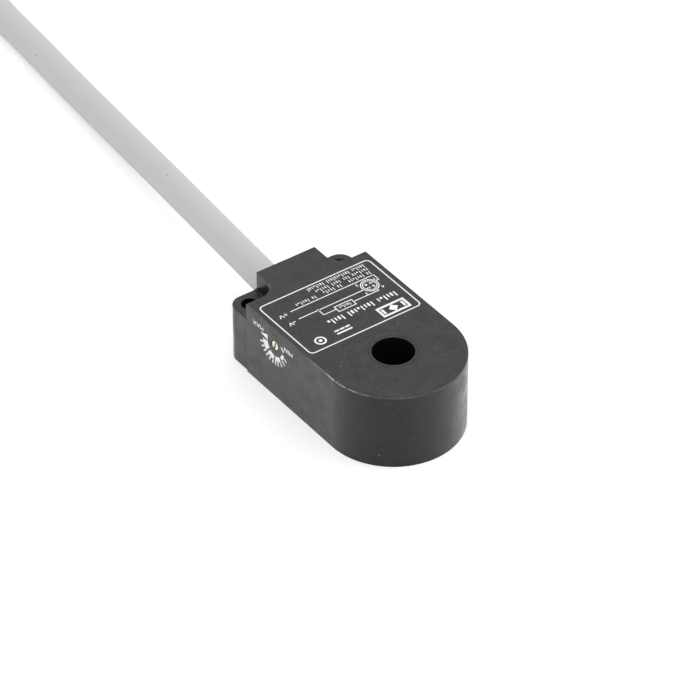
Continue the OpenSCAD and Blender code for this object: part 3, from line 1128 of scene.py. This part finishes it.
@dataclass
class TopPrint:
    """Print on the top face: a frame, a wiring diagram and lines of small bars.

    Places are in mm in the print's own reading direction: X towards -Y of the part, Y towards +X.
    """

    origin: Plan = (-0.17, 0.04)
    turn_deg: float = -90.0
    line: float = 0.26
    fine: float = 0.2
    bold: float = 0.36
    frame_low: Plan = (-16.1, -31.9)
    frame_high: Plan = (16.35, -10.02)
    frame_corner: float = 1.3
    frame_line: float = 0.32
    # Levels of the wires, and where their free ends are.
    plus_wire: float = -26.1
    minus_wire: float = -22.7
    load_wire: float = -20.5
    wires_end: float = 10.75
    # The load is a box with a word in it, on a branch of the minus wire.
    load_low: Plan = (-3.65, -21.6)
    load_high: Plan = (1.6, -19.25)
    load_word: Row = ((-2.75, -21.0), (0.7, -19.9), (6,))
    branch: float = 5.15
    branch_dot: float = 0.36
    # The socket has two rings and four contacts.
    socket: Plan = (-10.35, -23.3)
    socket_radius: float = 2.35
    socket_step: float = 0.5
    socket_line: float = 0.22
    socket_bypass: float = 0.8
    contact_step: float = 0.66
    contact_radius: float = 0.34
    digits: tuple[tuple[str, Plan], ...] = (
        ("2", (-7.8, -25.1)), ("1", (-12.7, -24.8)), ("3", (-7.9, -21.2)), ("4", (-12.7, -21.2)),
    )
    digit_height: float = 0.85
    # Middle of each polarity sign, and tip of the chevron beside it.
    plus_sign: tuple[Plan, Plan] = ((12.47, -25.85), (13.75, -26.3))
    minus_sign: tuple[Plan, Plan] = ((12.45, -22.4), (13.45, -22.7))
    sign_bar: Plan = (0.85, 0.28)
    chevron: Plan = (1.1, 1.15)
    small_rows: tuple[Row, ...] = (
        ((-13.9, -31.05), (2.95, -29.75), (6, 11, 8)),
        ((-13.9, -29.4), (1.7, -28.2), (7, 3, 4, 6)),
        ((-13.6, -27.85), (-7.05, -26.65), (2, 7)),
        ((-5.05, -27.85), (0.45, -26.65), (2, 5)),
        ((2.45, -27.85), (8.5, -26.65), (2, 6)),
    )
    large_row: Row = ((-13.9, -18.15), (6.2, -16.3), (6, 8, 5))
    # The sensor symbol is a box with a diamond between two bars.
    symbol_low: Plan = (-13.9, -15.0)
    symbol_high: Plan = (-5.8, -11.2)
    symbol_line: float = 0.62
    symbol_core: float = 1.3
    symbol_bar: Plan = (0.6, 1.9)
    symbol_inset: float = 1.2
    # The direct current sign is a bar over three dashes.
    direct_bar: Plan = (4.7, -12.7)
    direct_size: Plan = (4.4, 0.5)
    dash: Plan = (3.15, -13.8)
    dash_size: Plan = (1.3, 0.5)
    dash_step: float = 1.55
    dashes: int = 3
    # The last mark is a ring with a dot.
    mark: Plan = (11.5, -13.05)
    mark_radius: float = 1.5
    mark_line: float = 0.45
    mark_dot: float = 0.5

    def build(self, palette: Palette) -> None:
        """Draws the print and lays it on the top of the housing.

        Args:
            palette: Finishes of the part.
        """
        print_ = FlatPrint("top_print")
        print_.frame(self.frame_low, self.frame_high, self.frame_corner, self.frame_line)
        self.draw_socket(print_)
        self.draw_wires(print_)
        self.draw_rows(print_)
        self.draw_symbols(print_)
        place = Matrix.Translation((self.origin[0] * MM, self.origin[1] * MM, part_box("housing")[1].z))
        piece = print_.lay(place @ Matrix.Rotation(math.radians(self.turn_deg), 4, "Z"))
        palette.dress(piece, "ink")
        settle(piece, Body.SENSOR, "housing_plastic")

    def draw_socket(self, print_: FlatPrint) -> None:
        """Draws the socket's rings, its contacts and their numbers.

        Args:
            print_: The drawing.
        """
        x, y = self.socket
        print_.ring(self.socket, self.socket_radius, self.line)
        print_.ring(self.socket, self.socket_radius - self.socket_step, self.socket_line)
        for across in (-self.contact_step, self.contact_step):
            for along in (-self.contact_step, self.contact_step):
                print_.disc((x + across, y + along), self.contact_radius)
        for digit, place in self.digits:
            print_.sign(digit, place, self.digit_height)

    def draw_wires(self, print_: FlatPrint) -> None:
        """Draws the wires, the load and the polarity signs.

        Args:
            print_: The drawing.
        """
        x, y = self.socket
        left, right = x - self.contact_step, x + self.contact_step
        low, high = y - self.contact_step, y + self.contact_step
        plus, minus, load = self.plus_wire, self.minus_wire, self.load_wire
        outer = x - self.socket_radius - self.socket_bypass
        print_.line([(self.wires_end, plus), (outer, plus), (outer, low), (left, low)], self.line)
        print_.line([(self.wires_end, minus), (right, minus)], self.line)
        print_.line([(self.branch, minus), (self.branch, load), (self.load_high[0], load)], self.line)
        print_.line([(self.load_low[0], load), (left, load), (left, high)], self.line)
        print_.frame(self.load_low, self.load_high, 0, self.line)
        print_.words(self.load_word, self.fine)
        print_.disc((self.branch, minus), self.branch_dot)
        for middle, tip in (self.plus_sign, self.minus_sign):
            print_.bar(middle, self.sign_bar)
            print_.chevron(tip, self.chevron, self.line)
        print_.bar(self.plus_sign[0], self.sign_bar, 90)

    def draw_rows(self, print_: FlatPrint) -> None:
        """Draws the lines of bars.

        Args:
            print_: The drawing.
        """
        for row in self.small_rows:
            print_.words(row, self.fine)
        print_.words(self.large_row, self.bold)

    def draw_symbols(self, print_: FlatPrint) -> None:
        """Draws a plain sensor symbol, a direct current sign and a ring with a dot.

        Args:
            print_: The drawing.
        """
        low, high = self.symbol_low, self.symbol_high
        middle = (low[1] + high[1]) / 2
        print_.frame(low, high, 0, self.symbol_line)
        print_.disc(((low[0] + high[0]) / 2, middle), self.symbol_core, corners=4)
        for x in (low[0] + self.symbol_inset, high[0] - self.symbol_inset):
            print_.bar((x, middle), self.symbol_bar)
        print_.bar(self.direct_bar, self.direct_size)
        for i in range(self.dashes):
            print_.bar((self.dash[0] + i * self.dash_step, self.dash[1]), self.dash_size)
        print_.ring(self.mark, self.mark_radius, self.mark_line)
        print_.disc(self.mark, self.mark_dot)


@dataclass
class TrimmerScale:
    """Wedge scale printed round the trimmer. Sizes are in mm from the trimmer's axis."""

    # Radii and span in degrees of each solid block.
    blocks: tuple[tuple[Span, Span], ...] = (
        ((2.95, 5.0), (9, 43)), ((3.1, 4.7), (52, 84)), ((3.0, 4.3), (92, 124)), ((2.95, 3.85), (135, 165)),
    )
    tick_angles: tuple[float, ...] = (20, 32, 43.5, 55, 67, 80.5, 92, 104, 121, 138, 156)
    tick_width: float = 0.42
    # Inner and outer radius, each at the first and at the last tick.
    tick_inner: Span = (4.9, 3.9)
    tick_outer: Span = (6.5, 5.2)
    pointer_foot: Plan = (2.95, -0.68)
    pointer_size: Plan = (2.9, 1.6)
    pointer_deg: float = 5.0
    end_mark: Plan = (-3.1, -0.7)
    end_size: Plan = (1.35, 0.5)
    end_deg: float = 139.5
    words: tuple[tuple[str, Plan], ...] = (("MAX", (6.75, -1.85)), ("MIN", (-5.5, -1.55)))
    word_height: float = 1.1
    word_stretch: float = 1.25

    def build(self, palette: Palette) -> None:
        """Draws the scale and lays it on the housing's side.

        Args:
            palette: Finishes of the part.
        """
        print_ = FlatPrint("trimmer_scale")
        for radii, span in self.blocks:
            print_.sector(radii, span)
        self.draw_ticks(print_)
        print_.wedge(self.pointer_foot, self.pointer_size, self.pointer_deg)
        print_.bar(self.end_mark, self.end_size, self.end_deg)
        for word, place in self.words:
            print_.sign(word, place, self.word_height, self.word_stretch)
        piece = print_.lay(self.side_face())
        palette.dress(piece, "ink")
        settle(piece, Body.SENSOR, "housing_plastic")

    def draw_ticks(self, print_: FlatPrint) -> None:
        """Draws the ticks, which get shorter along the scale.

        Args:
            print_: The drawing.
        """
        tapers = (self.tick_inner, self.tick_outer)
        for i, angle in enumerate(self.tick_angles):
            share = i / (len(self.tick_angles) - 1)
            inner, outer = (first + share * (last - first) for first, last in tapers)
            reach, turn = (inner + outer) / 2, math.radians(angle)
            middle = (reach * math.cos(turn), reach * math.sin(turn))
            print_.bar(middle, (outer - inner, self.tick_width), angle)

    def side_face(self) -> Matrix:
        """Gives the place on the side: the print's X runs to -X, its Y runs down and it faces -Y.

        Returns:
            Transform from the drawing, in metres, to the side.
        """
        centre, _ = joint("trimmer_turn")
        return Matrix(((-1, 0, 0, centre.x), (0, 0, -1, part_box("housing")[0].y), (0, -1, 0, centre.z),
                       (0, 0, 0, 1)))


@dataclass
class Trimmer:
    """Slotted trimmer screw, its case and its seal."""

    edge_radius: float = 0.08

    def build(self, palette: Palette) -> None:
        """Softens the screw's head and dresses the trimmer.

        Args:
            palette: Finishes of the part.
        """
        screw = RoundedCopy("trimmer_screw", self.edge_radius, segments=2, limited=False).build()
        palette.dress(screw, "screw", "screw")
        settle(screw, Body.TRIMMER, "trimmer_brass", "trimmer_screw")
        palette.dress(frame["nodes"]["trimmer_case"], "trimmer_case")
        palette.dress(frame["nodes"]["trimmer_seal"], "rubber")


@dataclass
class Plug:
    """Round four-pin plug: grip, insert, pins and coupling ring with its thread. Sizes are in mm."""

    edge_radius: float = 0.15
    thread_start: float = 33.2
    thread_pitch: float = 1.0
    thread_turns: int = 6
    thread_root: float = 5.5
    thread_crest: float = 6.0
    # Half the width of the ridge's foot, in pitches.
    thread_foot: float = 0.45
    thread_steps: int = 40
    thread_smooth_deg: float = 20.0
    pins: int = 4

    def pin_nodes(self) -> tuple[str, ...]:
        """Gives the names of the pins' nodes."""
        return tuple(f"pin_{i + 1}" for i in range(self.pins))

    def pieces(self) -> tuple[str, ...]:
        """Gives the names of all that hangs on the cable's end."""
        return ("plug_grip_finished", "coupling_ring_finished", "coupling_thread", "plug_insert",
                *self.pin_nodes())

    def build(self, palette: Palette) -> None:
        """Builds the thread, softens the mouldings and dresses the plug.

        Args:
            palette: Finishes of the part.
        """
        grip = RoundedCopy("plug_grip", self.edge_radius, segments=2).build()
        palette.dress(grip, "grip", "grip")
        settle(grip, Body.SENSOR, "plug_plastic", "plug_grip")
        ring = RoundedCopy("coupling_ring", self.edge_radius, segments=2).build()
        palette.dress(ring, "nickel", "nickel")
        settle(ring, Body.COUPLING, "nickel", "coupling_ring")
        thread = self.build_thread()
        palette.dress(thread, "nickel")
        settle(thread, Body.COUPLING, "nickel")
        palette.dress(frame["nodes"]["plug_insert"], "insert")
        for pin in self.pin_nodes():
            palette.dress(frame["nodes"][pin], "gold")

    def build_thread(self) -> bpy.types.Object:
        """Winds the thread's ridge round the plug's axis.

        Returns:
            The thread, with its place in its mesh.
        """
        bpy.ops.object.select_all(action="DESELECT")
        bpy.ops.mesh.primitive_circle_add(vertices=3, radius=1, fill_type="NOTHING")
        thread = bpy.context.object
        thread.name = "coupling_thread"
        corners = ((self.thread_root, -self.thread_foot), (self.thread_crest, 0.0),
                   (self.thread_root, self.thread_foot))
        for vertex, (reach, along) in zip(thread.data.vertices, corners):
            vertex.co = (reach * MM, 0, along * self.thread_pitch * MM)
        apply_modifier(thread, "SCREW", {"axis": "Z", "screw_offset": self.thread_pitch * MM,
                                         "iterations": self.thread_turns, "steps": self.thread_steps,
                                         "render_steps": self.thread_steps, "use_merge_vertices": False})
        edit(thread, "EDGE")
        bpy.ops.mesh.select_all(action="SELECT")
        bpy.ops.mesh.fill_holes(sides=4)
        bpy.ops.mesh.normals_make_consistent(inside=False)
        leave()
        start, along = joint("coupling_turn")
        turn = Vector((0, 0, 1)).rotation_difference(along).to_matrix().to_4x4()
        thread.matrix_world = Matrix.Translation(start + along * self.thread_start * MM) @ turn
        freeze(thread)
        bpy.ops.object.shade_smooth_by_angle(angle=math.radians(self.thread_smooth_deg))
        return thread


@dataclass
class Inside:
    """Coil, circuit board and wires inside the closed housing."""

    finishes: tuple[tuple[str, str], ...] = (
        ("coil_bobbin", "bobbin"), ("coil_winding", "winding"), ("coil_lead_a", "lead"),
        ("coil_lead_b", "lead"), ("shield_ring", "shield"), ("circuit_board", "board"),
        ("oscillator_chip", "chip"), ("output_transistor", "chip"), ("capacitor", "resin"),
        ("cable_seal", "rubber"), ("wire_brown", "wire_brown"), ("wire_blue", "wire_blue"),
        ("wire_black", "wire_black"),
    )

    def build(self, palette: Palette) -> None:
        """Dresses the inner pieces, whose shapes stay as they are."""
        for node, finish in self.finishes:
            palette.dress(frame["nodes"][node], finish)


def main() -> None:
    """Builds the studio and the part's sub-assemblies in order."""
    logging.basicConfig(level=logging.INFO, format="%(name)s: %(message)s")
    palette = Palette()
    Studio().build()
    plug = Plug()
    plug.build(palette)
    Cable(on_it=plug.pieces()).build(palette)
    for assembly in (Housing(), TopPrint(), TrimmerScale(), Trimmer(), Inside()):
        assembly.build(palette)


if __name__ == "__main__":
    main()
